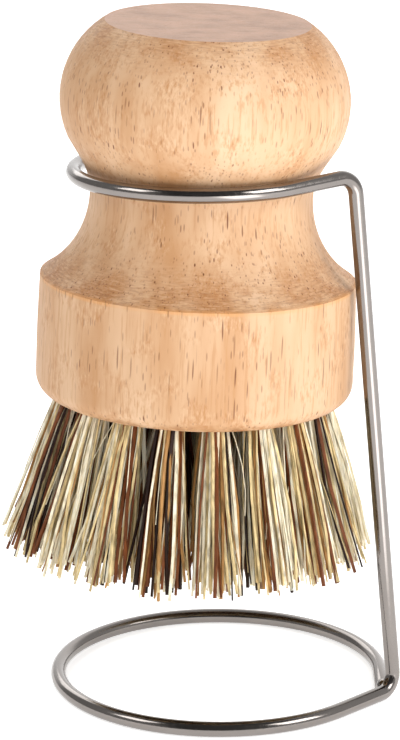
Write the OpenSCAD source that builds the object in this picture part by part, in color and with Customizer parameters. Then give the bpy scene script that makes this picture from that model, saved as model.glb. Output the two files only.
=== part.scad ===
// Palm brush hanging by its knob in a stand bent from one wire.
// The origin is the middle of the base ring on the table, +Z is up and the front faces -Y.

/* [Wire stand] */
// Diameter of the stainless wire
wire_d = 2.4; // [2:0.1:2.6]
// Radius of the base ring, to the middle of the wire
base_ring_r = 26; // [25:0.1:28]
// How far the foot of the post stands out from the base ring
foot_bulge = 3.05; // [2.8:0.05:4]
// Height of the upper ring, to the middle of the wire
top_ring_z = 83.5; // [82:0.5:90]
// Distance from the neck to the middle of the upper ring's wire
neck_room = 2.65; // [2.45:0.05:3.05]
// How far the upper ring lies left of the middle of the base ring
top_ring_shift = 2.7; // [2:0.1:3.4]
// Where the open upper ring ends, in degrees round from the right
ring_tip_angle = 150; // [148:1:160]
// Where the post stands, in degrees round from the right
post_angle = -17; // [-22:1:-12]
// Radius of the two bends of the post, to the middle of the wire
bend_r = 3; // [2.6:0.1:4]
// Length of the straight end that closes the base ring
closing_l = 8.4; // [8:0.1:9]
// Diameter of the weld bead where the ring closes
weld_d = 2.8; // [2.6:0.1:3.1]
// Length of the weld bead
weld_l = 2; // [1.6:0.1:2.4]
// Gap between the post and the ridge of the drum
post_gap = 0.6; // [0.45:0.05:1]
// How far the wire climbs from the upper ring to the top of the post
head_rise = 0.6; // [0:0.1:0.8]

/* [Brush seat] */
// Lean of the brush in its ring, in degrees to the right
lean = 2.2; // [0:0.1:2.6]
// Gap between the knob and the upper ring, measured with the brush upright
seat_gap = 0.7; // [0.6:0.05:0.9]

/* [Handle] */
// Diameter of the drum
drum_d = 50; // [49:0.5:52]
// Height of the drum, from its underside to the ridge
drum_h = 18.9; // [17:0.1:21]
// Rounding of the drum's lower rim
rim_r = 3; // [2:0.5:3.5]
// How far the ridge between drum and shoulder stands in from the drum's side
ridge_inset = 0.25; // [0.2:0.05:1]
// How far below the ridge the drum reaches its full diameter
wall_taper_h = 8.5; // [6:0.5:12]
// Diameter of the neck at its narrowest
neck_d = 34.7; // [34:0.1:35]
// Height of the narrowest neck above the ridge, as a share of the knob's height
neck_share = 0.47; // [0.46:0.005:0.48]
// Diameter of the knob at its widest
knob_d = 44.9; // [44.5:0.1:46]
// Height of the widest knob above the ridge
knob_h = 28; // [27.5:0.1:28.5]
// Radius of the knob's round side
knob_curve_r = 14.45; // [14.2:0.05:14.8]
// Height of the sanded flat above the ridge, at the middle
flat_h = 40.15; // [38.5:0.05:40.5]
// How far the sanded flat is out of square, in degrees toward the front
flat_tilt = 2.4; // [0:0.1:3]

/* [Tufts] */
// Number of rings of holes round the middle hole
hole_rings = 3; // [1:1:3]
// Distance from the outer ring of holes to the side of the drum
hole_margin = 5.6; // [5.2:0.1:6.5]
// Diameter of a hole
hole_d = 4.4; // [4:0.1:4.6]
// Depth of a hole
hole_depth = 11; // [9:0.5:12]
// Tilt of the outer ring of holes, in degrees
outer_tilt = 14.4; // [12:0.2:15]
// Gap round a tuft in its hole
plug_gap = 0.05; // [0.02:0.01:0.1]
// How far the packed end of a tuft stays below the wood
plug_recess = 1; // [0.5:0.1:2]
// Length of the bristles that stands out of the wood
bristle_l = 24.2; // [18:0.1:26]
// How unevenly the bristles are cut
ragged = 0.7; // [0:0.1:1]
// Width of a bristle across its corners
strand_w = 0.68; // [0.5:0.02:0.7]
// How many times wider a tuft is at its tip than at its root
tuft_spread = 2.3; // [1.6:0.1:2.4]

/* [Anchor plates] */
// Length of a plate, across the hole
plate_l = 5; // [4.8:0.1:5.2]
// Thickness of a plate
plate_t = 0.5; // [0.3:0.1:0.8]
// Height of a plate, along the hole
plate_h = 2; // [1.5:0.1:2.5]
// Gap round a plate in the wood and in its tuft
plate_gap = 0.03; // [0.02:0.01:0.06]

/* [Hidden] */
$fn = 64;
RING_NAMES = ["center", "inner", "middle", "outer"];

WOOD = "#DDB386";
STEEL = "#B9B5B2";
PLATE = "#C9C4B8";
CREAM = "#D9CDA2";
BROWN = "#7C4A2C";

wire_r = wire_d / 2;
collar_l = 0.5;
collar_over = 0.03;
drum_r = drum_d / 2;
ridge_r = drum_r - ridge_inset;
neck_r = neck_d / 2;
knob_core_r = knob_d / 2 - knob_curve_r;
flat_allowance = drum_r * tan(flat_tilt) + 1;

// The hollow of the neck is one curve from just above the ridge, up to where the knob swells
ridge_land = 0.09;
neck_h = neck_share * knob_h;
neck_curve_r = (pow(ridge_r - neck_r, 2) + pow(neck_h - ridge_land, 2)) / (2 * (ridge_r - neck_r));
waist_top = neck_h + (knob_h - neck_h) * neck_curve_r / (neck_curve_r + knob_curve_r);

// The upper ring's height on the brush's axis, from the ridge: under the knob, clear of the neck
top_ring_r = neck_r + neck_room;
seat_reach = knob_curve_r + wire_r + seat_gap;
neck_reach = neck_curve_r - wire_r - seat_gap + 0.12;
under_knob = knob_h - sqrt(pow(seat_reach, 2) - pow(top_ring_r - knob_core_r, 2));
inside_neck = neck_h + sqrt(pow(neck_reach, 2) - pow(neck_r + neck_curve_r - top_ring_r, 2));
ring_on_axis = min(under_knob, inside_neck);
ring_centre = [-top_ring_shift, 0, top_ring_z];
brush_axis = [sin(lean), 0, cos(lean)];
brush_origin = ring_centre - ring_on_axis * brush_axis;

// The post runs from its foot past the ridge of the drum to just above the upper ring's height
foot = polar(base_ring_r + foot_bulge, post_angle, wire_r);
passing = brush_origin + polar(ridge_r + wire_r + post_gap, post_angle, 0);
head = foot + (passing - foot) * (top_ring_z + head_rise - wire_r) / (passing.z - wire_r);

outer_hole_r = drum_r - hole_margin;
plug_r = hole_d / 2 - plug_gap;
root_r = plug_r - strand_w * 0.65;
root_sink = 0.5;
golden_angle = 137.508;
// Strands in a tuft, for each ring of holes from the middle outward
STRANDS = [10, 10, 12, 14];

function polar(r, angle, z) = [r * cos(angle), r * sin(angle), z];
function unit(v) = v / norm(v);
function hole_count(ring) = ring == 0 ? 1 : 6 * ring;
function hole_r(ring) = outer_hole_r * ring / hole_rings;
function hole_tilt(ring) = outer_tilt * ring / hole_rings;
function hole_angle(ring, i) = 360 * (i + (ring == 2 ? 0.5 : 0)) / hole_count(ring);
function tuft_name(ring, i) =
    ring == 0 ? "tuft_center" : str("tuft_", RING_NAMES[ring], "_", i + 1);

// Angle on a ring at which a straight wire leaves it for a point outside
function tangent_angle(centre, r, point) =
    atan2(point.y - centre.y, point.x - centre.x)
    - acos(r / norm([point.x - centre.x, point.y - centre.y]));

// One wire bend at a corner between two unit directions
function bend_trim(from, to) = bend_r * tan(acos(from * to) / 2);
module wire_bend(corner, from, to) {
    side = unit(to - (to * from) * from);
    up = cross(from, side);
    start = corner - bend_trim(from, to) * from;
    multmatrix([
        [from.x, side.x, up.x, start.x],
        [from.y, side.y, up.y, start.y],
        [from.z, side.z, up.z, start.z],
        [0, 0, 0, 1]
    ])
        translate([0, bend_r, 0])
            rotate_extrude(angle = acos(from * to), start = -90)
                translate([bend_r, 0]) circle(wire_r);
}

module rod(a, b, r, fn = 64) {
    v = b - a;
    translate(a)
        rotate([0, acos(v.z / norm(v)), atan2(v.y, v.x)])
            cylinder(h = norm(v), r = r, $fn = fn);
}

module wire_arc(centre, r, from_angle, to_angle) {
    translate(centre)
        rotate_extrude(angle = to_angle - from_angle, start = from_angle)
            translate([r, 0]) circle(wire_r);
}

// A short collar, hardly thicker than the wire, where two of its stretches meet
module joint_collar(place, along) {
    rod(place - collar_l / 2 * along, place + collar_l / 2 * along, wire_r + collar_over);
}

module wire_stand() {
    base_centre = [0, 0, wire_r];
    base_leaves = tangent_angle(base_centre, base_ring_r, foot);
    base_tangent = polar(base_ring_r, base_leaves, wire_r);
    top_leaves = tangent_angle(ring_centre, top_ring_r, head);
    top_tangent = ring_centre + polar(top_ring_r, top_leaves, 0);

    along_base = unit(foot - base_tangent);
    along_post = unit(head - foot);
    along_top = unit(top_tangent - head);
    foot_trim = bend_trim(along_base, along_post);
    head_trim = bend_trim(along_post, along_top);
    foot_start = foot - foot_trim * along_base;
    foot_end = foot + foot_trim * along_post;
    head_start = head - head_trim * along_post;
    head_end = head + head_trim * along_top;
    ring_end = [base_ring_r, 0, wire_r];
    closing = [base_ring_r, -closing_l, wire_r];
    weld_rise = weld_d / 2 - wire_r + 0.05;

    color(STEEL) union() {
        wire_arc(base_centre, base_ring_r, 0, 360 + base_leaves);
        joint_collar(base_tangent, along_base);
        rod(base_tangent, foot_start, wire_r);
        joint_collar(foot_start, along_base);
        wire_bend(foot, along_base, along_post);
        joint_collar(foot_end, along_post);
        rod(foot_end, head_start, wire_r);
        joint_collar(head_start, along_post);
        wire_bend(head, along_post, along_top);
        joint_collar(head_end, along_top);
        rod(head_end, top_tangent, wire_r);
        joint_collar(top_tangent, along_top);
        wire_arc(ring_centre, top_ring_r, ring_tip_angle, 360 + top_leaves);
        joint_collar(ring_end, [0, 1, 0]);
        rod(ring_end, closing, wire_r);
        rod(
            closing + [0, weld_l / 3, weld_rise],
            closing + [weld_l / 3, -weld_l * 2 / 3, weld_rise * 2],
            weld_d / 2
        );
    }
}

// Puts its children, drawn upright with the ridge at z = 0, where the brush hangs
module hanging() {
    translate(brush_origin) rotate([0, lean, 0]) children();
}

// Half outline of the handle: x is the radius, y the height above the ridge
module handle_outline() {
    difference() {
        union() {
            polygon([
                [0, -drum_h],
                [drum_r - rim_r, -drum_h],
                [drum_r, -drum_h + rim_r],
                [drum_r, -wall_taper_h],
                [ridge_r, 0],
                [ridge_r, waist_top],
                [0, waist_top]
            ]);
            translate([drum_r - rim_r, -drum_h + rim_r]) circle(rim_r);
        }
        translate([neck_r + neck_curve_r, neck_h]) circle(neck_curve_r);
    }
    intersection() {
        translate([knob_core_r, knob_h]) circle(knob_curve_r);
        translate([0, knob_h - knob_curve_r]) square(2 * knob_curve_r);
    }
    translate([0, waist_top - 1]) square([knob_core_r, flat_h + flat_allowance - waist_top + 1]);
}

// Puts its children in one hole: z = 0 is the mouth and +z points out of the wood
module at_hole(ring, i) {
    rotate([0, 0, hole_angle(ring, i)])
        translate([hole_r(ring), 0, -drum_h])
            rotate([0, 180 - hole_tilt(ring), 0]) children();
}

module at_each_hole(ring) {
    for (i = [0 : hole_count(ring) - 1]) at_hole(ring, i) children();
}

// An anchor plate standing on the bottom of its hole, or the room for it
module plate(gap = 0) {
    translate([-plate_t / 2 - gap, -plate_l / 2 - gap, -hole_depth])
        cube([plate_t + 2 * gap, plate_l + 2 * gap, plate_h + gap]);
}

// The handle is turned from one piece of wood. It is drawn as two, which meet at the ridge
module handle_knob() {
    color(WOOD) hanging() difference() {
        rotate_extrude() intersection() {
            handle_outline();
            square([drum_r, flat_h + 2 * flat_allowance]);
        }
        translate([0, 0, flat_h]) rotate([flat_tilt, 0, 0])
            translate([-drum_r, -drum_r, 0]) cube([drum_d, drum_d, knob_curve_r]);
    }
}

module handle_drum() {
    mouth_room = 2;
    color(WOOD) hanging() difference() {
        rotate_extrude() intersection() {
            handle_outline();
            translate([0, -drum_h - 1]) square([drum_r + 1, drum_h + 1]);
        }
        for (ring = [0 : hole_rings]) at_each_hole(ring) {
            translate([0, 0, -hole_depth]) cylinder(h = hole_depth + mouth_room, d = hole_d);
            plate(plate_gap);
        }
    }
}

module anchor_plates(ring) {
    color(PLATE) hanging() at_each_hole(ring) plate();
}

// Point of strand k in a round bunch of n strands of the given radius
function bunch_point(k, n, r) = polar(r * sqrt((k + 0.5) / n), golden_angle * k, 0);

// The strands of one tuft, in the upright frame of its hole's ring
module strands(ring, seed) {
    tilt = hole_tilt(ring);
    out = [sin(tilt), 0, -cos(tilt)];
    mouth = [hole_r(ring), 0, -drum_h];
    root_middle = mouth - (plug_recess + root_sink) * out;
    tip_middle = mouth + bristle_l / cos(tilt) * out;
    count = STRANDS[ring];
    cut = rands(-ragged, ragged, count, seed);
    for (k = [0 : count - 1]) {
        p = bunch_point(k, count, root_r);
        root = root_middle + [p.x * cos(tilt), p.y, p.x * sin(tilt)];
        tip = tip_middle + [p.x * tuft_spread, p.y * tuft_spread, cut[k]];
        rod(root, tip, strand_w / 2, 3);
    }
}

module tuft(ring, i) {
    color((i + ring) % 3 == 1 ? BROWN : CREAM) hanging() union() {
        at_hole(ring, i) difference() {
            translate([0, 0, -hole_depth]) cylinder(h = hole_depth - plug_recess, r = plug_r);
            plate(plate_gap);
        }
        rotate([0, 0, hole_angle(ring, i)]) strands(ring, 100 * ring + i);
    }
}

handle_knob();
handle_drum();
wire_stand();
for (ring = [0 : hole_rings]) {
    anchor_plates(ring);
    for (i = [0 : hole_count(ring) - 1])
        tuft(ring, i);
}
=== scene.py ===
"""Dresses a palm brush that hangs by its knob in a stand bent from one wire."""

import math
import random

import bmesh
import bpy
from mathutils import Matrix, Vector


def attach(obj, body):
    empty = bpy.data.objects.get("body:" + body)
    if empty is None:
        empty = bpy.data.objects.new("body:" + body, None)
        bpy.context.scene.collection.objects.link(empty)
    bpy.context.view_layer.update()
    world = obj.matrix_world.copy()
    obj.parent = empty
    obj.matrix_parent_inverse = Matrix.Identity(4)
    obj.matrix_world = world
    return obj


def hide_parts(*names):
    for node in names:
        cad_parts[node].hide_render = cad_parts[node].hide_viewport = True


bl_info = {
    "name": "Palm brush and wire stand",
    "version": (1, 0, 0),
    "blender": (4, 5, 0),
    "location": "View3D > Sidebar > Palm brush",
    "description": "Builds a turned palm brush, its tufts, its wire stand and a studio",
    "category": "Object",
}

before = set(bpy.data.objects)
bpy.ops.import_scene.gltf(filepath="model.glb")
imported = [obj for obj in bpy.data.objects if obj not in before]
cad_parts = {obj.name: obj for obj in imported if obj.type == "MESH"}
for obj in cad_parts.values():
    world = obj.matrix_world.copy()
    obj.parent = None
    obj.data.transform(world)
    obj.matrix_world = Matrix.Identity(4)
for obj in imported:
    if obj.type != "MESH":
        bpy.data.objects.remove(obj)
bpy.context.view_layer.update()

MM = 0.001
RINGS = ["center", "inner", "middle", "outer"]
# Distance between two points along the wire's rings, and steps in one of its bends
POINT_GAP = 1.3 * MM
BEND_STEPS = 14
# The turn from one fibre's root to the next, which packs a round hole evenly
GOLDEN_TURN = math.radians(137.508)


def size_mm(name, description, mm):
    """A length property whose default is given in millimetres."""
    return bpy.props.FloatProperty(
        name=name,
        description=description,
        default=mm * MM,
        min=0,
        precision=5,
        subtype="DISTANCE",
        unit="LENGTH",
    )


def turn(name, description, degrees):
    """An angle property whose default is given in degrees."""
    return bpy.props.FloatProperty(
        name=name,
        description=description,
        default=math.radians(degrees),
        subtype="ANGLE",
        unit="ROTATION",
    )


def linear(code):
    """The linear colour of an sRGB hex code."""
    parts = [int(code[i : i + 2], 16) / 255 for i in (1, 3, 5)]
    return [c / 12.92 if c <= 0.04045 else ((c + 0.055) / 1.055) ** 2.4 for c in parts]


def colour(name, description, code):
    """A colour property whose default is an sRGB hex code."""
    return bpy.props.FloatVectorProperty(
        name=name,
        description=description,
        default=linear(code),
        size=3,
        min=0,
        max=1,
        subtype="COLOR",
    )


class HandleLook(bpy.types.PropertyGroup):
    """Sizes and colours of the turned handle."""

    drum_d: size_mm("Drum diameter", "Diameter of the drum", 50)
    drum_h: size_mm("Drum height", "Height of the drum up to its ridge", 18.9)
    rim_r: size_mm("Rim rounding", "Rounding of the drum's lower rim", 3)
    ridge_inset: size_mm("Ridge inset", "How far the ridge stands in from the drum's side", 0.25)
    ridge_land: size_mm("Ridge land", "Height of the narrow band above the ridge", 0.09)
    wall_taper_h: size_mm("Wall taper", "How far below the ridge the drum is full", 8.5)
    wall_soft: size_mm("Wall softening", "Width of the soft edge where the taper starts", 1.5)
    neck_d: size_mm("Neck diameter", "Diameter of the neck at its narrowest", 34.7)
    neck_h: size_mm("Neck height", "Height of the narrowest neck above the ridge", 13.16)
    neck_blend: size_mm("Neck blend", "Reach of the soft meeting of neck and knob", 3.2)
    knob_d: size_mm("Knob diameter", "Diameter of the knob at its widest", 44.9)
    knob_h: size_mm("Knob height", "Height of the widest knob above the ridge", 28)
    knob_curve_r: size_mm("Knob rounding", "Radius of the knob's round side", 14.45)
    flat_h: size_mm("Flat height", "Height of the sanded flat above the ridge", 40.15)
    flat_tilt: turn("Flat tilt", "How far the flat is out of square", 2.4)
    lean: turn("Lean", "Lean of the brush in its ring", 2.2)
    wood: colour("Wood", "Main colour of the sanded wood", "#CCA47F")
    wood_pale: colour("Pale wood", "Colour of the pale bands of the wood", "#DAB896")
    wood_deep: colour("Deep wood", "Colour of the darker bands of the wood", "#BC8C60")
    end_grain: colour("End grain", "Colour where the turning cuts across the grain", "#AE743F")
    ridge_gold: colour("Ridge", "Colour of the burnished line along the ridge", "#D99A58")
    sanded_end: colour("Sanded end", "Colour of the sanded flat", "#C29F8A")
    vessel: colour("Vessels", "Colour inside the open vessels", "#6A3719")


class StandLook(bpy.types.PropertyGroup):
    """Sizes and colours of the wire stand."""

    wire_d: size_mm("Wire diameter", "Diameter of the stainless wire", 2.4)
    base_ring_r: size_mm("Base ring radius", "Radius of the base ring", 26)
    foot_bulge: size_mm("Foot bulge", "How far the post's foot stands out", 3.05)
    top_ring_z: size_mm("Upper ring height", "Height of the upper ring", 83.5)
    neck_room: size_mm("Neck room", "From the neck to the middle of the ring's wire", 2.65)
    top_ring_shift: size_mm("Upper ring shift", "How far left the upper ring lies", 2.7)
    seat_gap: size_mm("Seat gap", "Gap between the knob and the upper ring", 0.7)
    post_gap: size_mm("Post gap", "Gap between the post and the ridge", 0.6)
    head_rise: size_mm("Head rise", "Climb from the upper ring to the top of the post", 0.6)
    bend_r: size_mm("Bend radius", "Radius of the post's two bends", 3)
    closing_l: size_mm("Closing end", "Length of the straight end that closes the ring", 8.4)
    weld_d: size_mm("Weld diameter", "Diameter of the weld bead", 2.8)
    weld_l: size_mm("Weld length", "Length of the weld bead", 2)
    weld_clear: size_mm("Weld clearance", "How far the weld bead stays off the floor", 0.05)
    end_round: size_mm("End rounding", "Rounding of the wire's cut ends", 0.35)
    ring_tip: turn("Ring tip", "Where the open upper ring ends, from the right", 150)
    post_angle: turn("Post angle", "Where the post stands, from the right", -17)
    steel: colour("Steel", "Colour of the polished wire", "#8C8682")
    plate: colour("Anchor plate", "Colour of the anchor plates", "#B9B2A2")


class TuftLook(bpy.types.PropertyGroup):
    """Sizes and colours of the tufts."""

    hole_margin: size_mm("Hole margin", "From the outer holes to the drum's side", 5.6)
    outer_tilt: turn("Outer tilt", "Tilt of the outer ring of holes", 14.4)
    hole_d: size_mm("Hole diameter", "Diameter of a hole", 4.4)
    packing: size_mm("Packing gap", "Gap between the outermost roots and the hole's side", 0.3)
    root_depth: size_mm("Root depth", "How far up its hole a fibre is drawn", 1.6)
    bristle_l: size_mm("Bristle length", "Length of the fibres out of the wood", 24.2)
    ragged: size_mm("Ragged cut", "How unevenly the fibres are cut", 0.9)
    fibre_d: size_mm("Fibre diameter", "Mean diameter of a fibre", 0.5)
    fibres: bpy.props.IntProperty(
        name="Fibres",
        description="Number of fibres in a tuft of the outer ring",
        default=66,
        min=8,
        max=200,
    )
    strays: bpy.props.IntProperty(
        name="Strays",
        description="Number of fine loose fibres in a tuft",
        default=7,
        min=0,
        max=50,
    )
    spread: bpy.props.FloatProperty(
        name="Spread",
        description="How many times wider a tuft is at its tip than at its root",
        default=2.35,
        min=1,
        max=3,
    )
    cream: colour("Cream fibre", "Colour of the palest fibres", "#EFE3C5")
    straw: colour("Straw fibre", "Colour of the common fibres", "#D3BD8C")
    tan: colour("Tan fibre", "Colour of the tan fibres", "#A57A48")
    rust: colour("Rust fibre", "Colour of the rusty brown fibres", "#6E3D1F")
    dark: colour("Dark fibre", "Colour of the darkest fibres", "#26140C")


class StudioLook(bpy.types.PropertyGroup):
    """Floor, light and camera."""

    floor: colour("Floor", "Colour of the floor", "#F7F7F7")
    key: bpy.props.FloatProperty(
        name="Key light",
        description="Power of the soft light from the right",
        default=3.1,
        min=0,
        unit="POWER",
    )
    fill: bpy.props.FloatProperty(
        name="Fill light",
        description="Power of the soft light from the front",
        default=2.9,
        min=0,
        unit="POWER",
    )
    left: bpy.props.FloatProperty(
        name="Left light",
        description="Power of the soft light from the left",
        default=1.6,
        min=0,
        unit="POWER",
    )
    glow: bpy.props.FloatProperty(
        name="Floor glow",
        description="How much light the lit floor gives off, so that it stays white far away",
        default=0.66,
        min=0,
    )
    front_glow: bpy.props.FloatProperty(
        name="Front glow",
        description="How much more light the pool on the floor in front gives off",
        default=3.2,
        min=0,
    )
    sky: bpy.props.FloatProperty(
        name="Sky",
        description="Strength of the light from the white walls",
        default=0.6,
        min=0,
    )
    lens: bpy.props.FloatProperty(
        name="Lens",
        description="Focal length of the camera, in millimetres",
        default=270,
        min=1,
        unit="CAMERA",
    )
    camera_spot: bpy.props.FloatVectorProperty(
        name="Camera place",
        description="Where the camera stands",
        default=(-0.00308, -0.4573, 0.1731),
        precision=5,
        subtype="TRANSLATION",
        unit="LENGTH",
    )
    camera_tilt: turn("Camera tilt", "Tilt of the camera, up from straight down", 75.1)


def add_node(tree, kind, inputs=None, **settings):
    """Adds a node, sets it up, and gives its inputs their values or links."""
    node = tree.nodes.new(kind)
    for name, value in settings.items():
        setattr(node, name, value)
    for name, value in (inputs or {}).items():
        socket = node.inputs[name]
        if isinstance(value, bpy.types.NodeSocket):
            tree.links.new(value, socket)
        else:
            socket.default_value = value
    return node


def new_finish(name):
    """A material with an empty node tree, and that tree."""
    finish = bpy.data.materials.new(name)
    finish.use_nodes = True
    finish.node_tree.nodes.clear()
    return finish, finish.node_tree


def rgba(value):
    """A colour property's value as a node socket takes it."""
    return [*value, 1]


def ramp(tree, value, stops):
    """A colour ramp with linear colours at its stops."""
    node = add_node(tree, "ShaderNodeValToRGB", {"Fac": value})
    row = node.color_ramp.elements
    while len(row) < len(stops):
        row.new(0.5)
    for element, (place, shade) in zip(row, stops):
        element.position = place
        element.color = shade
    return node.outputs["Color"]


def between(tree, value, low, high, to_low=0, to_high=1):
    """A value eased from one range to another."""
    node = add_node(
        tree,
        "ShaderNodeMapRange",
        {"Value": value, "From Min": low, "From Max": high, "To Min": to_low, "To Max": to_high},
        interpolation_type="SMOOTHSTEP",
    )
    return node.outputs["Result"]


def maths(tree, operation, a, b=0.0):
    """One sum on two values."""
    return add_node(tree, "ShaderNodeMath", {0: a, 1: b}, operation=operation).outputs[0]


def times(tree, a, b):
    """The product of two values."""
    return maths(tree, "MULTIPLY", a, b)


def blend_colours(tree, amount, a, b):
    """Two colours blended by an amount."""
    return add_node(tree, "ShaderNodeMix", {0: amount, 6: a, 7: b}, data_type="RGBA").outputs[2]


def cells_of(tree, place, x, y, z):
    """Coordinates with one pattern cell every x, y and z millimetres."""
    return add_node(
        tree,
        "ShaderNodeVectorMath",
        {0: place, 1: (1 / (x * MM), 1 / (y * MM), 1 / (z * MM))},
        operation="MULTIPLY",
    ).outputs["Vector"]


def noise(tree, cells, detail, roughness=0.5, scale=1):
    """A cloudy pattern from 0 to 1."""
    return add_node(
        tree,
        "ShaderNodeTexNoise",
        {"Vector": cells, "Scale": scale, "Detail": detail, "Roughness": roughness},
    ).outputs["Fac"]


def add_surface(tree, tone, roughness, height, strength, depth, others):
    """The end of a material: its shader, with bumps depth millimetres deep, and its output."""
    bump = add_node(
        tree,
        "ShaderNodeBump",
        {"Height": height, "Strength": strength, "Distance": depth * MM},
    )
    inputs = {"Base Color": tone, "Roughness": roughness, "Normal": bump.outputs["Normal"]}
    shader = add_node(tree, "ShaderNodeBsdfPrincipled", {**inputs, **others})
    add_node(tree, "ShaderNodeOutputMaterial", {"Surface": shader.outputs[0]})


def brush_place(context):
    """Where the brush hangs: the matrix that takes its upright shape, ridge at z = 0, into the frame."""
    handle = context.scene.palm_handle
    stand = context.scene.palm_stand
    neck = handle.neck_d / 2
    ring_r = neck + stand.neck_room
    core = handle.knob_d / 2 - handle.knob_curve_r
    reach = handle.knob_curve_r + stand.wire_d / 2 + stand.seat_gap
    on_axis = handle.knob_h - math.sqrt(reach**2 - (ring_r - core) ** 2)
    ring = Vector((-stand.top_ring_shift, 0, stand.top_ring_z))
    turned = Matrix.Rotation(handle.lean, 4, "Y")
    origin = ring - turned @ Vector((0, 0, on_axis))
    return Matrix.Translation(origin) @ turned, origin


def finish_mesh(shape, name, finishes, sharp=35):
    """Makes an object of a bmesh, with outward normals and smooth shading broken at sharp edges."""
    bmesh.ops.remove_doubles(shape, verts=shape.verts, dist=2e-7)
    bmesh.ops.recalc_face_normals(shape, faces=shape.faces)
    for face in shape.faces:
        face.smooth = True
    for edge in shape.edges:
        if len(edge.link_faces) == 2 and edge.calc_face_angle() > math.radians(sharp):
            edge.smooth = False
    mesh = bpy.data.meshes.new(name)
    shape.to_mesh(mesh)
    shape.free()
    for finish in finishes:
        mesh.materials.append(finish)
    made = bpy.data.objects.new(name, mesh)
    bpy.context.collection.objects.link(made)
    return made


def close_ends(shape):
    """Closes the open ends of swept tubes, and returns the new faces."""
    rims = [e for e in shape.edges if e.is_boundary]
    return bmesh.ops.holes_fill(shape, edges=rims, sides=0)["faces"]


def round_edges(shape, edges, width):
    """Rounds edges off over that width."""
    bmesh.ops.bevel(
        shape,
        geom=edges,
        offset=width,
        offset_type="OFFSET",
        segments=3,
        profile=0.5,
        affect="EDGES",
        material=-1,
    )


def sweep_curve(context, path):
    """Turns a bevelled curve into a bmesh, and removes the curve."""
    holder = bpy.data.objects.new(path.name, path)
    context.collection.objects.link(holder)
    context.view_layer.update()
    tube = holder.evaluated_get(context.evaluated_depsgraph_get()).to_mesh()
    shape = bmesh.new()
    shape.from_mesh(tube)
    holder.to_mesh_clear()
    bpy.data.objects.remove(holder)
    bpy.data.curves.remove(path)
    return shape


def draw_line(shape, corner, x, z):
    """Draws the outline on to a point, and returns its new end."""
    made = bmesh.ops.extrude_vert_indiv(shape, verts=[corner])
    end = made["verts"][0]
    end.co = (x, 0, z)
    return end


def draw_arc(shape, corner, centre, angle, steps):
    """Sweeps the outline's end round a centre, anticlockwise in x and z, and returns the new end."""
    made = bmesh.ops.spin(
        shape,
        geom=[corner],
        cent=(centre[0], 0, centre[1]),
        axis=(0, -1, 0),
        angle=angle,
        steps=steps,
        use_duplicate=False,
    )
    return [g for g in made["geom_last"] if isinstance(g, bmesh.types.BMVert)][0]


def circles_meet(a, ra, b, rb):
    """The two points in which two circles meet."""
    gap = Vector(b) - Vector(a)
    d = gap.length
    along = (ra**2 - rb**2 + d**2) / (2 * d)
    off = math.sqrt(max(ra**2 - along**2, 0))
    middle = Vector(a) + gap * along / d
    aside = Vector((-gap.y, gap.x)) * off / d
    return middle - aside, middle + aside


def angle_of(point, centre):
    """Direction from a centre to a point, as an angle."""
    return math.atan2(point[1] - centre[1], point[0] - centre[0])


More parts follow.
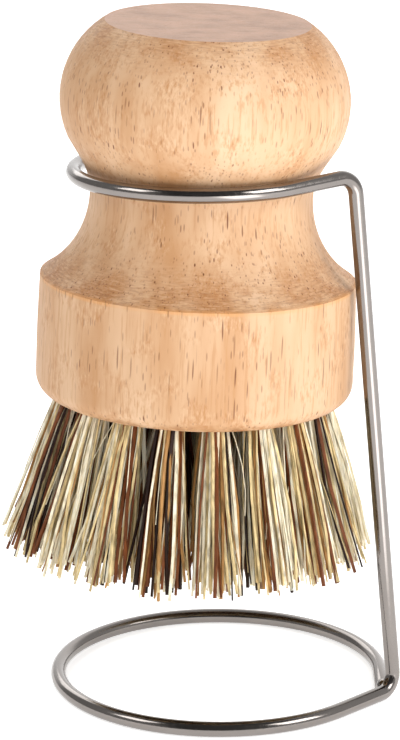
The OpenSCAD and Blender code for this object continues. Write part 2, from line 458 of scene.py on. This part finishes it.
def wood_finish(context):
    """Rubberwood, turned along the grain and sanded, left bare: warm, matt and pale, with open
    vessels that show as short dark dashes on its sides and as dots where the turning cuts across."""
    look = context.scene.palm_handle
    _, origin = brush_place(context)
    finish, tree = new_finish("rubberwood_turned_and_sanded")
    place = add_node(tree, "ShaderNodeTexCoord")
    # Coordinates in metres along the brush's own axis, from the ridge up
    grain = add_node(
        tree,
        "ShaderNodeMapping",
        {"Vector": place.outputs["Object"], "Location": origin, "Rotation": (0, look.lean, 0)},
        vector_type="TEXTURE",
    ).outputs["Vector"]
    split = add_node(tree, "ShaderNodeSeparateXYZ", {0: grain})

    # How far the surface cuts across the grain: 0 on upright sides, 1 on the flat
    axis = Vector((math.sin(look.lean), 0, math.cos(look.lean)))
    across = add_node(
        tree,
        "ShaderNodeVectorMath",
        {0: place.outputs["Normal"], 1: axis},
        operation="DOT_PRODUCT",
    ).outputs["Value"]
    end_on = between(tree, maths(tree, "ABSOLUTE", across), 0.35, 0.95)

    def grain_noise(x, y, z, detail, roughness=0.5):
        """Noise along the grain, with one cell every x, y and z millimetres."""
        return noise(tree, cells_of(tree, grain, x, y, z), detail, roughness)

    def wander(cells, amount):
        """Coordinates pushed about a little, so that no line runs dead straight."""
        push = add_node(
            tree,
            "ShaderNodeTexNoise",
            {"Vector": cells_of(tree, grain, 4, 4, 9), "Scale": 1, "Detail": 1},
        )
        moved = add_node(
            tree,
            "ShaderNodeVectorMath",
            {0: push.outputs["Color"], 1: (amount, amount, 0), 2: cells},
            operation="MULTIPLY_ADD",
        )
        return moved.outputs["Vector"]

    def vessels(x, z, thick, share):
        """Open vessels in that share of the cells, which are x wide and z long, in millimetres. A
        vessel's radius is thick cells."""
        cells = add_node(
            tree,
            "ShaderNodeTexVoronoi",
            {"Vector": wander(cells_of(tree, grain, x, x, z), 0.7), "Scale": 1, "Randomness": 1},
        )
        chance = add_node(tree, "ShaderNodeSeparateColor", {0: cells.outputs["Color"]})
        chosen = between(tree, chance.outputs[0], share, share - 0.08)
        depth = between(tree, cells.outputs["Distance"], thick, thick * 0.6)
        tone = between(tree, chance.outputs[1], 0, 1, 0.45, 1)
        return times(tree, times(tree, depth, chosen), tone)

    # Vessels of rubberwood: 0.2 to 0.35 mm wide, seen as dashes 2 to 5 mm long and as fine lines of
    # about 12 mm, crowded in some places and few in others
    crowd = between(tree, grain_noise(6, 6, 15, 1), 0.36, 0.58, 0.42, 1)
    wide = vessels(0.75, 11.0, 0.22, 0.8)
    small = vessels(0.5, 3.2, 0.27, 0.75)
    long = vessels(0.95, 58.0, 0.11, 0.85)
    pores = maths(tree, "MAXIMUM", wide, times(tree, small, 0.7))
    pores = maths(tree, "MAXIMUM", pores, times(tree, long, 0.9))
    pores = times(tree, pores, crowd)

    # Broad bands about 8 mm wide that run along the grain, and fibres of 0.5 mm
    bands = grain_noise(8, 8, 46, 3, 0.55)
    fibre = grain_noise(0.55, 0.55, 9, 3, 0.6)
    body = ramp(
        tree,
        bands,
        [(0.3, rgba(look.wood_deep)), (0.5, rgba(look.wood)), (0.72, rgba(look.wood_pale))],
    )
    browner = between(tree, fibre, 0.5, 0.68, 0, 0.62)
    body = blend_colours(tree, browner, body, rgba(look.wood_deep))

    # Flecks of 0.4 mm where the fibres lie aslant, in places only
    flecks = grain_noise(0.4, 0.4, 1.5, 2, 0.7)
    patches = grain_noise(6, 6, 5, 2)
    aslant = between(tree, patches, 0.48, 0.62)
    darker = times(tree, aslant, between(tree, flecks, 0.45, 0.75, 0, 0.6))
    body = blend_colours(tree, darker, body, rgba(look.end_grain))
    paler = times(tree, aslant, between(tree, flecks, 0.5, 0.3, 0, 0.5))
    body = blend_colours(tree, paler, body, rgba(look.wood_pale))

    # Tool rings about 0.4 mm apart and torn fibre ends where the turning cuts across the grain
    radius = add_node(
        tree,
        "ShaderNodeVectorMath",
        {0: grain, 1: (1, 1, 0)},
        operation="MULTIPLY",
    ).outputs["Vector"]
    radius = add_node(tree, "ShaderNodeVectorMath", {0: radius}, operation="LENGTH").outputs["Value"]
    outward = maths(tree, "SUBTRACT", radius, split.outputs["Z"])
    turned = add_node(
        tree,
        "ShaderNodeCombineXYZ",
        {
            "X": maths(tree, "DIVIDE", split.outputs["X"], 1.6 * MM),
            "Y": maths(tree, "DIVIDE", split.outputs["Y"], 1.6 * MM),
            "Z": maths(tree, "DIVIDE", outward, 0.42 * MM),
        },
    ).outputs["Vector"]
    rings = noise(tree, turned, 2, 0.6)
    rough_end = times(tree, end_on, between(tree, rings, 0.46, 0.7))
    browned = times(tree, end_on, between(tree, patches, 0.38, 0.62, 0.1, 0.68))
    body = blend_colours(tree, browned, body, rgba(look.end_grain))
    body = blend_colours(tree, times(tree, rough_end, 0.36), body, rgba(look.vessel))
    pale_rings = times(tree, end_on, between(tree, rings, 0.48, 0.3, 0, 0.55))
    body = blend_colours(tree, pale_rings, body, rgba(look.wood_pale))

    # The drum's ridge is burnished to a warmer gold in a line about 0.5 mm wide
    ridge = between(tree, maths(tree, "ABSOLUTE", split.outputs["Z"]), 0.55 * MM, 0.1 * MM)
    ridge = times(tree, ridge, between(tree, patches, 0.35, 0.6, 0.15, 0.5))
    body = blend_colours(tree, ridge, body, rgba(look.ridge_gold))

    # The sanded flat is greyer and pinker, with faint lines about 1 mm apart across it
    flat = between(tree, split.outputs["Z"], look.flat_h - 1.35 * MM, look.flat_h - 1.2 * MM)
    flat = times(tree, flat, between(tree, across, 0.985, 0.995))
    lines = grain_noise(5, 1.1, 30, 4, 0.6)
    sanded = ramp(
        tree,
        maths(tree, "ADD", times(tree, lines, 0.35), times(tree, patches, 0.65)),
        [
            (0.33, [c * 0.8 for c in look.sanded_end] + [1]),
            (0.5, rgba(look.sanded_end)),
            (0.68, [min(c * 1.16, 1) for c in look.sanded_end] + [1]),
        ],
    )
    body = blend_colours(tree, flat, body, sanded)
    pore_strength = times(tree, pores, between(tree, flat, 0, 1, 0.9, 0.2))
    body = blend_colours(tree, pore_strength, body, rgba(look.vessel))

    sunk = maths(tree, "ADD", pores, times(tree, rough_end, 0.7))
    height = maths(tree, "SUBTRACT", times(tree, fibre, 0.25), sunk)
    roughness = between(tree, fibre, 0.3, 0.7, 0.5, 0.64)
    bare = {"IOR": 1.45, "Specular IOR Level": 0.35}
    add_surface(tree, body, roughness, height, 0.35, 0.12, bare)
    return finish


def wire_finish(context):
    """Stainless spring wire, drawn and polished: a near mirror with faint draw lines, which shows
    the white room, the dark edges round it and the wood beside it."""
    look = context.scene.palm_stand
    finish, tree = new_finish("stainless_wire_polished")
    place = add_node(tree, "ShaderNodeTexCoord").outputs["Object"]
    # Polishing marks about 0.6 mm apart, and a haze that changes over 9 mm
    marks = noise(tree, place, 3, 0.6, 1 / (0.6 * MM))
    haze = noise(tree, place, 2, scale=1 / (9 * MM))
    dulled = between(tree, haze, 0.35, 0.7, 0, 0.35)
    tone = blend_colours(tree, dulled, rgba(look.steel), [c * 0.82 for c in look.steel] + [1])
    roughness = between(tree, marks, 0.3, 0.7, 0.1, 0.2)
    add_surface(tree, tone, roughness, marks, 0.05, 0.03, {"Metallic": 1.0})
    return finish


def plate_finish(context):
    """Anchor plates stamped from rolled steel strip: dull grey with fine rolling lines."""
    look = context.scene.palm_stand
    finish, tree = new_finish("anchor_plate_rolled_steel")
    place = add_node(tree, "ShaderNodeTexCoord").outputs["Object"]
    # Rolling lines 0.2 mm apart, drawn 3 mm long
    rolled = noise(tree, cells_of(tree, place, 0.2, 0.2, 3), 2)
    tone = blend_colours(tree, rolled, rgba(look.plate), [c * 0.75 for c in look.plate] + [1])
    roughness = between(tree, rolled, 0.3, 0.7, 0.3, 0.45)
    add_surface(tree, tone, roughness, rolled, 0.1, 0.05, {"Metallic": 1.0})
    return finish


def fibre_finish(name, shade):
    """Stiff plant fibre, such as sisal or palm stalk, cut dry: matt, a little glossy along its
    skin, and never two alike in colour."""
    finish, tree = new_finish(name)
    place = add_node(tree, "ShaderNodeTexCoord").outputs["Object"]
    # Colour changes from fibre to fibre, over 0.7 mm, and slowly along each, over 14 mm
    mottle = noise(tree, cells_of(tree, place, 0.7, 0.7, 14), 2)
    tone = ramp(
        tree,
        mottle,
        [
            (0.3, [c * 0.55 for c in shade] + [1]),
            (0.5, rgba(shade)),
            (0.72, [min(c * 1.4, 0.92) for c in shade] + [1]),
        ],
    )
    roughness = between(tree, mottle, 0.3, 0.7, 0.55, 0.42)
    dry = {"IOR": 1.5, "Specular IOR Level": 0.25}
    add_surface(tree, tone, roughness, mottle, 0.2, 0.05, dry)
    return finish


class PALM_OT_handle(bpy.types.Operator):
    """Turn the wooden handle: drum, ridge, neck and knob, with its sanded flat"""

    bl_idname = "palm.handle"
    bl_label = "Turned handle"

    def execute(self, context):
        look = context.scene.palm_handle
        place, _ = brush_place(context)
        drum = look.drum_d / 2
        ridge = drum - look.ridge_inset
        neck = look.neck_d / 2
        land = look.ridge_land
        step = ridge - neck
        curve = (step**2 + (look.neck_h - land) ** 2) / (2 * step)
        hollow = (neck + curve, look.neck_h)
        knob = (look.knob_d / 2 - look.knob_curve_r, look.knob_h)
        rim = (drum - look.rim_r, look.rim_r - look.drum_h)
        meeting = min(circles_meet(hollow, curve, knob, look.knob_curve_r), key=lambda p: p.y)

        shape = bmesh.new()
        corner = shape.verts.new((0, 0, -look.drum_h))
        corner = draw_line(shape, corner, rim[0], -look.drum_h)
        corner = draw_arc(shape, corner, rim, math.pi / 2, 8)
        corner = draw_line(shape, corner, drum, -look.wall_taper_h)
        corner = draw_line(shape, corner, ridge, 0)
        corner = draw_line(shape, corner, ridge, land)
        sweep = angle_of(meeting, hollow) - (angle_of((ridge, land), hollow) + 2 * math.pi)
        corner = draw_arc(shape, corner, hollow, sweep, 18)
        start = angle_of(meeting, knob)
        corner = draw_arc(shape, corner, knob, math.pi / 2 - start, 26)
        draw_line(shape, corner, 0, corner.co.z)
        # The hollow of the neck runs softly into the knob
        near = [v for v in shape.verts if abs(v.co.z - meeting.y) < look.neck_blend]
        near = [v for v in near if v.co.x > neck]
        for _ in range(6):
            bmesh.ops.smooth_vert(shape, verts=near, factor=0.5, use_axis_x=True, use_axis_z=True)
        bmesh.ops.spin(
            shape,
            geom=shape.verts[:] + shape.edges[:],
            cent=(0, 0, 0),
            axis=(0, 0, 1),
            angle=2 * math.pi,
            steps=160,
            use_merge=True,
            use_duplicate=False,
        )
        bmesh.ops.remove_doubles(shape, verts=shape.verts, dist=1e-6)

        # The sanded flat, cut slightly out of square, and its crisp edge
        normal = Matrix.Rotation(look.flat_tilt, 3, "X") @ Vector((0, 0, 1))
        cut = bmesh.ops.bisect_plane(
            shape,
            geom=shape.verts[:] + shape.edges[:] + shape.faces[:],
            plane_co=(0, 0, look.flat_h),
            plane_no=normal,
            clear_outer=True,
        )
        rim_edges = [g for g in cut["geom_cut"] if isinstance(g, bmesh.types.BMEdge)]
        bmesh.ops.holes_fill(shape, edges=rim_edges, sides=0)

        def on_taper(vert):
            """Whether a point lies on the ring where the drum starts to taper."""
            off = math.hypot(vert.co.x, vert.co.y) - drum
            return abs(vert.co.z + look.wall_taper_h) < 0.03 * MM and abs(off) < 0.03 * MM

        taper = [e for e in shape.edges if all(on_taper(v) for v in e.verts)]
        if not taper:
            raise RuntimeError("the drum has no ring where its taper starts")
        round_edges(shape, taper, look.wall_soft)
        bmesh.ops.transform(shape, matrix=place, verts=shape.verts)
        made = finish_mesh(shape, "turned_handle", [wood_finish(context)], sharp=28)
        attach(made, "brush")
        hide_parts("handle_knob", "handle_drum")
        return {"FINISHED"}


class PALM_OT_wire(bpy.types.Operator):
    """Bend the stand from one wire: base ring, post and open upper ring, closed by a weld bead"""

    bl_idname = "palm.wire"
    bl_label = "Wire stand"

    def execute(self, context):
        look = context.scene.palm_stand
        handle = context.scene.palm_handle
        _, origin = brush_place(context)
        wire = look.wire_d / 2
        top_r = handle.neck_d / 2 + look.neck_room
        base = Vector((0, 0, wire))
        top = Vector((-look.top_ring_shift, 0, look.top_ring_z))

        def polar(centre, radius, angle):
            return centre + Vector((radius * math.cos(angle), radius * math.sin(angle), 0))

        foot = polar(base, look.base_ring_r + look.foot_bulge, look.post_angle)
        ridge = handle.drum_d / 2 - handle.ridge_inset
        passing = polar(origin, ridge + wire + look.post_gap, look.post_angle)
        rise = look.top_ring_z + look.head_rise - wire
        head = foot + (passing - foot) * rise / (passing.z - wire)

        def leaves(centre, radius, point):
            """The angle at which a straight wire leaves a ring for a point."""
            away = point - centre
            away.z = 0
            return math.atan2(away.y, away.x) - math.acos(radius / away.length)

        def ring_points(centre, radius, first, last):
            """Points along an arc."""
            count = max(2, round(radius * abs(last - first) / POINT_GAP))
            step = (last - first) / count
            return [polar(centre, radius, first + step * i) for i in range(count + 1)]

        def bend_points(before, corner, after):
            """Points along the bend at a corner."""
            into = (corner - before).normalized()
            out = (after - corner).normalized()
            angle = into.angle(out)
            trim = look.bend_r * math.tan(angle / 2)
            side = (out - into * out.dot(into)).normalized()
            start = corner - into * trim
            middle = start + side * look.bend_r
            axis = into.cross(side)
            turns = [angle * i / BEND_STEPS for i in range(BEND_STEPS + 1)]
            return [middle + Matrix.Rotation(t, 3, axis) @ (start - middle) for t in turns]

        base_leaves = leaves(base, look.base_ring_r, foot)
        top_leaves = leaves(top, top_r, head)
        base_end = polar(base, look.base_ring_r, base_leaves)
        top_start = polar(top, top_r, top_leaves)
        closing = Vector((look.base_ring_r, -look.closing_l, wire))

        route = [closing]
        route += ring_points(base, look.base_ring_r, 0, base_leaves + 2 * math.pi)
        route += bend_points(base_end, foot, head)
        route += bend_points(foot, head, top_start)
        route += ring_points(top, top_r, top_leaves, look.ring_tip - 2 * math.pi)

        path = bpy.data.curves.new("wire_route", "CURVE")
        path.dimensions = "3D"
        path.bevel_depth = wire
        path.bevel_resolution = 5
        path.fill_mode = "FULL"
        line = path.splines.new("POLY")
        line.points.add(len(route) - 1)
        for point, spot in zip(line.points, route):
            point.co = (*spot, 1)
        shape = sweep_curve(context, path)
        bmesh.ops.remove_doubles(shape, verts=shape.verts, dist=1e-6)

        # The cut ends are tumbled a little round
        ends = list({e for f in close_ends(shape) for e in f.edges})
        if not ends:
            raise RuntimeError("the wire has no end caps")
        round_edges(shape, ends, look.end_round)

        # The weld bead: a low oval lump over the closing end
        proud = look.weld_d / 2 - wire + look.weld_clear
        start = closing + Vector((0, look.weld_l / 3, proud))
        stop = closing + Vector((look.weld_l / 3, -look.weld_l * 2 / 3, proud * 2))
        bead = bmesh.ops.create_icosphere(shape, subdivisions=3, radius=look.weld_d / 2)
        along = (stop - start).to_track_quat("Z", "Y").to_matrix().to_4x4()
        longer = (look.weld_l / 2 + look.weld_d / 4) / (look.weld_d / 2)
        stretch = Matrix.Diagonal((1, 1, longer, 1))
        random.seed(11)
        for vert in bead["verts"]:
            vert.co *= 1 - 0.035 * random.random()
        spot = Matrix.Translation((start + stop) / 2)
        bmesh.ops.transform(shape, matrix=spot @ along @ stretch, verts=bead["verts"])

        made = finish_mesh(shape, "wire_stand_polished", [wire_finish(context)], sharp=50)
        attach(made, "stand")
        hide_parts("wire_stand")
        return {"FINISHED"}


class PALM_OT_tufts(bpy.types.Operator):
    """Fill every hole with a tuft of loose, unevenly cut plant fibres"""

    bl_idname = "palm.tufts"
    bl_label = "Tufts"

    def execute(self, context):
        look = context.scene.palm_tufts
        handle = context.scene.palm_handle
        place, _ = brush_place(context)
        shades = ["cream", "straw", "tan", "rust", "dark"]
        finishes = [fibre_finish("plant_fibre_" + s, getattr(look, s)) for s in shades]
        # Share of each shade in a pale tuft and in a brown one, in the inner tufts, and in the
        # tufts towards the right, which are the palest. The inner tufts hold more dark fibres as
        # painted shade, for the dark gaps between the tufts.
        mixes = {"cream": (46, 28, 8, 11, 7), "brown": (18, 12, 12, 34, 24)}
        inner = (14, 14, 14, 26, 32)
        right = (54, 27, 9, 7, 3)
        outer_r = handle.drum_d / 2 - look.hole_margin
        for ring, ring_name in enumerate(RINGS):
            count = 6 * ring or 1
            tilt = look.outer_tilt * ring / 3
            hole_r = outer_r * ring / 3
            for i in range(count):
                node = "tuft_center" if ring == 0 else f"tuft_{ring_name}_{i + 1}"
                kind = "brown" if (i + ring) % 3 == 1 else "cream"
                angle = 2 * math.pi * (i + (0.5 if ring == 2 else 0)) / count
                turned = place @ Matrix.Rotation(angle, 4, "Z")
                fibres = round(look.fibres * (0.74 + 0.26 * ring / 3))
                random.seed(500 + 40 * ring + i)
                pale = max(0, math.cos(angle + math.radians(15))) ** 2
                # The inner rings take the darker mix: painted shade between the tufts
                mix = mixes[kind] if ring == 3 else inner
                mix = [share + pale * (whiter - share) for share, whiter in zip(mix, right)]
                made = self.tuft(context, node, turned, hole_r, tilt, fibres, mix, finishes)
                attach(made, "brush")
                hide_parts(node)
        return {"FINISHED"}

    def tuft(self, context, node, turned, hole_r, tilt, fibres, mix, finishes):
        """One tuft: fibres packed in a round hole that fan out to uneven tips."""
        look = context.scene.palm_tufts
        handle = context.scene.palm_handle
        out = Vector((math.sin(tilt), 0, -math.cos(tilt)))
        side = Vector((math.cos(tilt), 0, math.sin(tilt)))
        mouth = Vector((hole_r, 0, -handle.drum_h))
        tip_middle = mouth + out * look.bristle_l / math.cos(tilt)
        root_r = look.hole_d / 2 - look.packing
        path = bpy.data.curves.new(node + "_fibres", "CURVE")
        for finish in finishes:
            path.materials.append(finish)
        path.dimensions = "3D"
        path.bevel_depth = 1
        path.bevel_resolution = 0
        path.fill_mode = "FULL"
        for k in range(fibres + look.strays):
            stray = k >= fibres
            reach = math.sqrt((k + 0.5) / fibres) if not stray else 0.9
            spot = GOLDEN_TURN * k
            x = root_r * reach * math.cos(spot)
            y = root_r * reach * math.sin(spot)
            root = mouth - out * look.root_depth + side * x + Vector((0, y, 0))
            wide = look.spread * random.uniform(0.78, 1.04)
            tip = tip_middle + Vector((x * wide, y * wide, 0))
            loose = random.choice((0.4, 0.5, 1.1))
            tip += Vector((random.gauss(0, 0.5), random.gauss(0, 2.2 if stray else loose), 0)) * MM
            tip.z += random.uniform(-1, 1) * look.ragged
            tip.z += random.choice((0, 0, 0, 0.6, 1.2)) * MM
            if stray:
                tip = root.lerp(tip, random.uniform(0.55, 1))
            sag = Vector((random.gauss(0, 0.4), random.gauss(0, 0.55), 0)) * MM
            shade = random.choices(range(5), mix)[0]
            thick = look.fibre_d / 2 * random.uniform(0.6, 1.35) * (1.12 if shade > 2 else 0.92)
            if stray:
                shade = random.choices(range(5), (60, 20, 10, 5, 5))[0]
                thick = look.fibre_d * 0.17
            line = path.splines.new("POLY")
            line.points.add(4)
            line.material_index = shade
            for n, point in enumerate(line.points):
                t = n / 4
                bow = math.sin(math.pi * t)
                wiggle = Vector((random.gauss(0, 0.07), random.gauss(0, 0.07), 0)) * MM
                point.co = (*(root.lerp(tip, t) + sag * bow + wiggle * bow), 1)
                point.radius = thick * (1.06 - 0.16 * t)
                point.tilt = 0.4 * k
        shape = sweep_curve(context, path)
        close_ends(shape)
        bmesh.ops.transform(shape, matrix=turned, verts=shape.verts)
        return finish_mesh(shape, node + "_fibres", finishes, sharp=60)


class PALM_OT_plates(bpy.types.Operator):
    """Give the hidden anchor plates their rolled steel finish"""

    bl_idname = "palm.plates"
    bl_label = "Anchor plates"

    def execute(self, context):
        finish = plate_finish(context)
        for ring_name in RINGS:
            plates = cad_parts["anchor_plates_" + ring_name]
            for slot in plates.material_slots:
                slot.material = finish
        return {"FINISHED"}


class PALM_OT_studio(bpy.types.Operator):
    """Set up the pale floor, the soft light and the camera"""

    bl_idname = "palm.studio"
    bl_label = "Studio"

    def execute(self, context):
        look = context.scene.palm_studio
        shape = bmesh.new()
        bmesh.ops.create_grid(shape, x_segments=8, y_segments=8, size=8)
        bmesh.ops.translate(shape, verts=shape.verts, vec=(0, 1.5, -0.05 * MM))
        paper, tree = new_finish("floor_white_paper")
        # A painted pool of light: the floor itself glows brighter in a wedge in front, and the post
        # mirrors this glow as its white line
        spot = add_node(tree, "ShaderNodeTexCoord").outputs["Object"]
        split = add_node(tree, "ShaderNodeSeparateXYZ", {0: spot})
        ahead = maths(tree, "MAXIMUM", times(tree, split.outputs["Y"], -1.0), 0.03)
        slope = maths(tree, "DIVIDE", maths(tree, "SUBTRACT", split.outputs["X"], 0.03), ahead)
        pool = times(tree, between(tree, slope, 0.05, 0.25), between(tree, slope, 1.1, 0.75))
        pool = times(tree, pool, between(tree, split.outputs["Y"], -0.05, -0.12))
        shader = add_node(
            tree,
            "ShaderNodeBsdfPrincipled",
            {
                "Base Color": rgba(look.floor),
                "Roughness": 0.9,
                "Emission Color": (1, 1, 1, 1),
                # The floor's even glow, plus the painted pool of light in front
                "Emission Strength": maths(tree, "ADD", times(tree, pool, look.front_glow), look.glow),
            },
        )
        add_node(tree, "ShaderNodeOutputMaterial", {"Surface": shader.outputs[0]})
        floor = finish_mesh(shape, "floor", [paper])

        world = bpy.data.worlds.new("white_room")
        world.use_nodes = True
        room = world.node_tree
        sky = room.nodes["Background"]
        sky.inputs["Color"].default_value = (1, 1, 1, 1)
        # White walls at the back and the sides, and a dark room behind the camera
        way = add_node(room, "ShaderNodeTexCoord").outputs["Generated"]
        ways = add_node(room, "ShaderNodeSeparateXYZ", {0: way})
        beside = between(room, maths(room, "ABSOLUTE", ways.outputs["X"]), 0.35, 0.8)
        walls = maths(room, "MAXIMUM", beside, between(room, ways.outputs["Y"], -0.15, 0.4))
        shaded = between(room, ways.outputs["X"], 0.3, -0.6, 1, 0.6)
        walls = times(room, between(room, walls, 0, 1, 0.18, 1), shaded)
        # The wall straight behind is the brightest, and shows where the wire runs front to back
        behind = between(room, ways.outputs["Y"], 0.6, 0.85, 1, 2.4)
        walls = times(room, walls, behind)
        room.links.new(times(room, walls, look.sky), sky.inputs["Strength"])
        context.scene.world = world

        centre = Vector((0, 0, 0.055))
        # Lamps that the wire mirrors, and softer fill that it does not: name, place, size, power
        lamps = [
            ("key", (0.614, -0.37, 0.55), 0.42, look.key, True),
            ("left", (-0.64, -0.26, 0.63), 0.36, look.left, True),
            ("front", (0.2, -1.0, 0.55), 0.6, look.fill, False),
            ("back", (-0.35, 0.75, 0.6), 0.5, look.fill * 0.5, True),
            ("top", (0.05, -0.1, 0.95), 0.9, look.fill * 0.6, False),
        ]
        for name, spot, size, power, mirrored in lamps:
            lamp = bpy.data.lights.new(name + "_light", "AREA")
            lamp.shape = "SQUARE"
            lamp.size = size
            lamp.energy = power
            holder = bpy.data.objects.new(name + "_light", lamp)
            holder.location = spot
            away = centre - Vector(spot)
            holder.rotation_euler = away.to_track_quat("-Z", "Y").to_euler()
            holder.visible_glossy = mirrored
            context.collection.objects.link(holder)

        view = bpy.data.cameras.new("camera")
        view.sensor_fit = "HORIZONTAL"
        view.sensor_width = 36
        view.lens = look.lens
        view.clip_start = 0.01
        view.clip_end = 50
        camera = bpy.data.objects.new("camera", view)
        camera.location = look.camera_spot
        camera.rotation_euler = (look.camera_tilt, 0, 0)
        context.collection.objects.link(camera)
        context.scene.camera = camera
        context.scene.view_settings.view_transform = "Standard"
        return {"FINISHED"}


class PALM_PT_panel(bpy.types.Panel):
    """Lists the pieces of the palm brush"""

    bl_idname = "PALM_PT_panel"
    bl_label = "Palm brush"
    bl_space_type = "VIEW_3D"
    bl_region_type = "UI"
    bl_category = "Palm brush"

    def draw(self, context):
        for step in STEPS:
            self.layout.operator(step.bl_idname)


LOOKS = {
    "palm_handle": HandleLook,
    "palm_stand": StandLook,
    "palm_tufts": TuftLook,
    "palm_studio": StudioLook,
}
STEPS = [PALM_OT_handle, PALM_OT_wire, PALM_OT_tufts, PALM_OT_plates, PALM_OT_studio]


def register():
    for kind in [*LOOKS.values(), *STEPS, PALM_PT_panel]:
        bpy.utils.register_class(kind)
    for name, look in LOOKS.items():
        setattr(bpy.types.Scene, name, bpy.props.PointerProperty(type=look))


def unregister():
    for name in LOOKS:
        delattr(bpy.types.Scene, name)
    for kind in reversed([*LOOKS.values(), *STEPS, PALM_PT_panel]):
        bpy.utils.unregister_class(kind)


def main():
    register()
    bpy.ops.palm.handle()
    bpy.ops.palm.wire()
    bpy.ops.palm.tufts()
    bpy.ops.palm.plates()
    bpy.ops.palm.studio()


if __name__ == "__main__":
    main()
